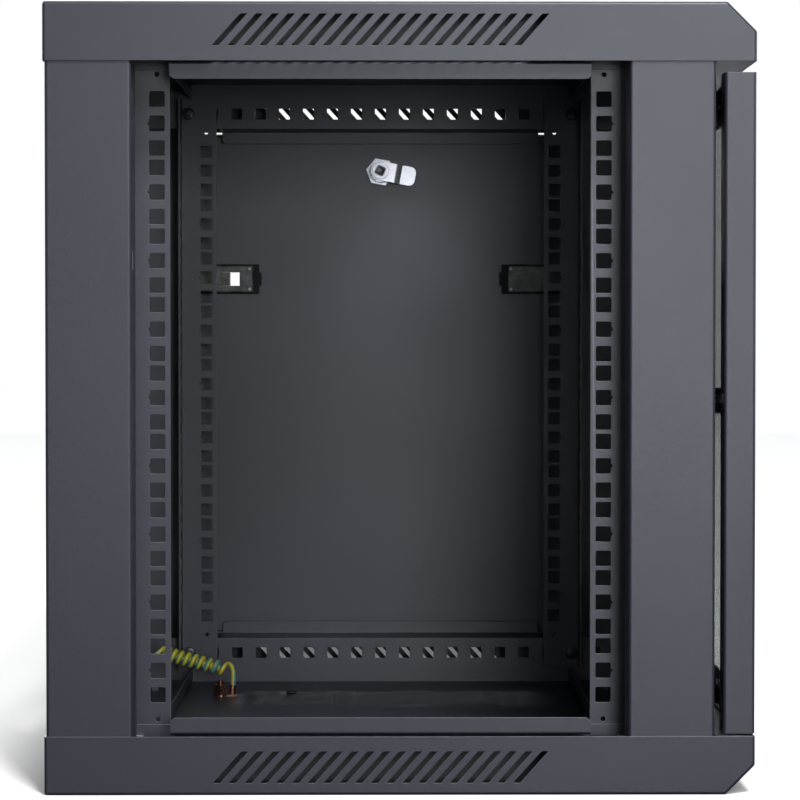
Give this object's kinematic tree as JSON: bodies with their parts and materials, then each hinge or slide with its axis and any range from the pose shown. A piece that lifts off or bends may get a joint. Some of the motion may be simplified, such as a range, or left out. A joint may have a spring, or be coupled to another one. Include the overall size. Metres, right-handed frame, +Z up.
{
  "type": "wall mount network cabinet",
  "caption": "Wall cabinet for 19-inch equipment: folded steel frame, slotted covers, punched rails, glazed swing door with cam lock, latched side panel, open left side.",
  "frame": {"origin": "bottom centre of the closed cabinet", "axes": "+Z up, the door faces -Y, the wall is on the +Y side, +X is the right side seen from the front"},
  "size_m": [0.6008, 0.4522, 0.501],
  "materials": {
    "powder_coat": "fine textured charcoal powder coat",
    "zinc_plate": "zinc plated",
    "lock_metal": "satin chrome",
    "black_screw": "black oxide",
    "black_plastic": "moulded",
    "tinted_glass": "grey tint",
    "gasket_foam": "foam tape",
    "copper_brass": "coppered",
    "lead_sheath": "green and yellow sheath"
  },
  "bodies": {
    "cabinet": {"back_lug": "copper_brass", "back_panel": "powder_coat", "back_screws": "zinc_plate", "beam_bolts": "zinc_plate", "bottom_cover": "powder_coat", "bottom_entry_plate": "powder_coat", "bottom_front_channel": "powder_coat", "bottom_left_beam": "powder_coat", "bottom_rear_channel": "powder_coat", "bottom_right_beam": "powder_coat", "cage_nuts": "zinc_plate", "channel_nuts": "zinc_plate", "earth_lead_back_tail": "lead_sheath", "earth_lead_coil": "lead_sheath", "earth_lead_floor_tail": "lead_sheath", "earth_nuts": "copper_brass", "earth_studs": "copper_brass", "entry_screws": "black_screw", "floor_lug": "copper_brass", "front_latch_housing": "black_plastic", "front_left_column": "powder_coat", "front_left_rail": "powder_coat", "front_right_column": "powder_coat", "front_right_rail": "powder_coat", "hinge_thrust_washer": "zinc_plate", "rail_screws": "black_screw", "rear_latch_housing": "black_plastic", "rear_left_column": "powder_coat", "rear_left_rail": "powder_coat", "rear_right_column": "powder_coat", "rear_right_rail": "powder_coat", "right_side_panel": "powder_coat", "side_lock_housing": "lock_metal", "side_lock_nut": "zinc_plate", "top_cover": "powder_coat", "top_entry_plate": "powder_coat", "top_front_channel": "powder_coat", "top_left_beam": "powder_coat", "top_rear_channel": "powder_coat", "top_right_beam": "powder_coat"},
    "door": {"door_frame": "powder_coat", "door_gasket": "gasket_foam", "door_glass": "tinted_glass", "glass_clips": "black_plastic", "clip_screws": "black_screw", "upper_hinge_bracket": "zinc_plate", "lower_hinge_bracket": "zinc_plate", "lower_hinge_pin": "zinc_plate", "upper_hinge_spring": "zinc_plate", "door_lock_housing": "lock_metal", "door_lock_nut": "zinc_plate"},
    "door_lock": {"door_lock_plug": "lock_metal", "door_lock_cam": "zinc_plate", "door_lock_cam_bolt": "zinc_plate"},
    "hinge_pin": {"upper_hinge_pin": "zinc_plate"},
    "side_lock": {"side_lock_plug": "lock_metal", "side_lock_cam": "zinc_plate", "side_lock_cam_bolt": "zinc_plate"},
    "rear_latch": {"rear_latch_bolt": "black_plastic"},
    "front_latch": {"front_latch_bolt": "black_plastic"}
  },
  "joints": [
    {"name": "door_swing", "type": "hinge", "parent": "cabinet", "child": "door", "pos_m": [0.2895, -0.216, 0.25], "axis": [0, 0, 1], "range_deg": [0, 180]},
    {"name": "door_lock_turn", "type": "hinge", "parent": "door", "child": "door_lock", "pos_m": [-0.235, -0.2, 0.24775], "axis": [0, -1, 0], "range_deg": [0, 90]},
    {"name": "hinge_pin_slide", "type": "slide", "parent": "door", "child": "hinge_pin", "axis": [0, 0, -1], "range_m": [0, 0.01], "stiffness_N_per_m": 400, "springref_m": -0.006, "deforming": ["upper_hinge_spring"]},
    {"name": "side_lock_turn", "type": "hinge", "parent": "cabinet", "child": "side_lock", "pos_m": [0.285, 0.0122, 0.4303], "axis": [-1, 0, 0], "range_deg": [0, 100]},
    {"name": "rear_latch_slide", "type": "slide", "parent": "cabinet", "child": "rear_latch", "axis": [0, -1, 0], "range_m": [0, 0.008], "stiffness_N_per_m": 300, "springref_m": -0.005},
    {"name": "front_latch_slide", "type": "slide", "parent": "cabinet", "child": "front_latch", "axis": [0, 1, 0], "range_m": [0, 0.008], "stiffness_N_per_m": 300, "springref_m": -0.005}
  ]
}
